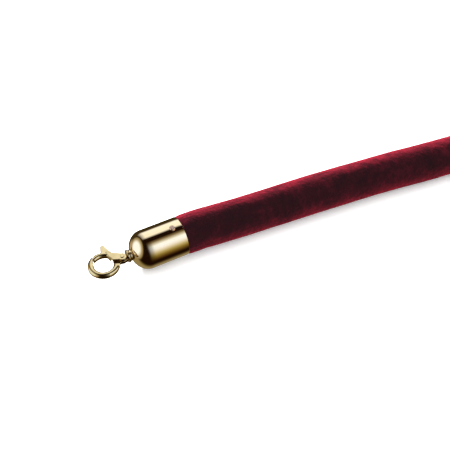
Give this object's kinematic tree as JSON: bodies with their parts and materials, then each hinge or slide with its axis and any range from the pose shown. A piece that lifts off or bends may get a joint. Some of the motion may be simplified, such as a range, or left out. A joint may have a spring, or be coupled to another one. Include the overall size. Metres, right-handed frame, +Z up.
{
  "type": "velvet barrier rope",
  "caption": "Velvet-covered crowd barrier rope with domed brass end caps and a swivelling snap hook with sprung gate at each end.",
  "frame": {"origin": "centre of the first hook's eye, on the axis of its end cap", "axes": "+X along the first end cap from its hook towards the rope, +Z up from the floor that the rope lies on, which is at z = -19 mm"},
  "size_m": [0.8104, 0.3418, 0.0397],
  "materials": {
    "cap_brass": "polished, lacquered",
    "hook_brass": "plated casting, tumbled bright",
    "screw_metal": "bright, slightly pink brass",
    "spring_wire": "drawn spring wire",
    "steel_nut": "zinc plated",
    "velvet": "dark red velvet, dense short pile",
    "filling": "cotton filling cord",
    "plug_wood": "turned beech, bare"
  },
  "bodies": {
    "root": {"velvet_sleeve": "velvet", "rope_core": "filling", "end_cap_a": "cap_brass", "swivel_bush_a": "cap_brass", "swivel_washer_a": "steel_nut", "rope_plug_a": "plug_wood", "cap_screw_a": "screw_metal", "end_cap_b": "cap_brass", "swivel_bush_b": "cap_brass", "swivel_washer_b": "steel_nut", "rope_plug_b": "plug_wood", "cap_screw_b": "screw_metal"},
    "hook_a": {"hook_body_a": "hook_brass", "gate_rivet_a": "screw_metal", "swivel_nut_a": "steel_nut"},
    "gate_a": {"hook_gate_a": "hook_brass", "gate_spring_a": "spring_wire"},
    "hook_b": {"hook_body_b": "hook_brass", "gate_rivet_b": "screw_metal", "swivel_nut_b": "steel_nut"},
    "gate_b": {"hook_gate_b": "hook_brass", "gate_spring_b": "spring_wire"}
  },
  "joints": [
    {"name": "hook_swivel_a", "type": "hinge", "parent": "root", "child": "hook_a", "pos_m": [0.0271, 0, 0], "axis": [1, 0, 0], "continuous": true},
    {"name": "gate_hinge_a", "type": "hinge", "parent": "hook_a", "child": "gate_a", "pos_m": [0.0185, 0, 0], "axis": [0, 0, 1], "range_deg": [0, 25], "stiffness_Nm_per_rad": 0.02, "springref_deg": -20.05, "deforming": ["gate_spring_a"]},
    {"name": "hook_swivel_b", "type": "hinge", "parent": "root", "child": "hook_b", "pos_m": [0.2511, -0.294, 0], "axis": [1, 0, 0], "continuous": true},
    {"name": "gate_hinge_b", "type": "hinge", "parent": "hook_b", "child": "gate_b", "pos_m": [0.2425, -0.294, 0], "axis": [0, 0, 1], "range_deg": [0, 25], "stiffness_Nm_per_rad": 0.02, "springref_deg": -20.05, "deforming": ["gate_spring_b"]}
  ]
}
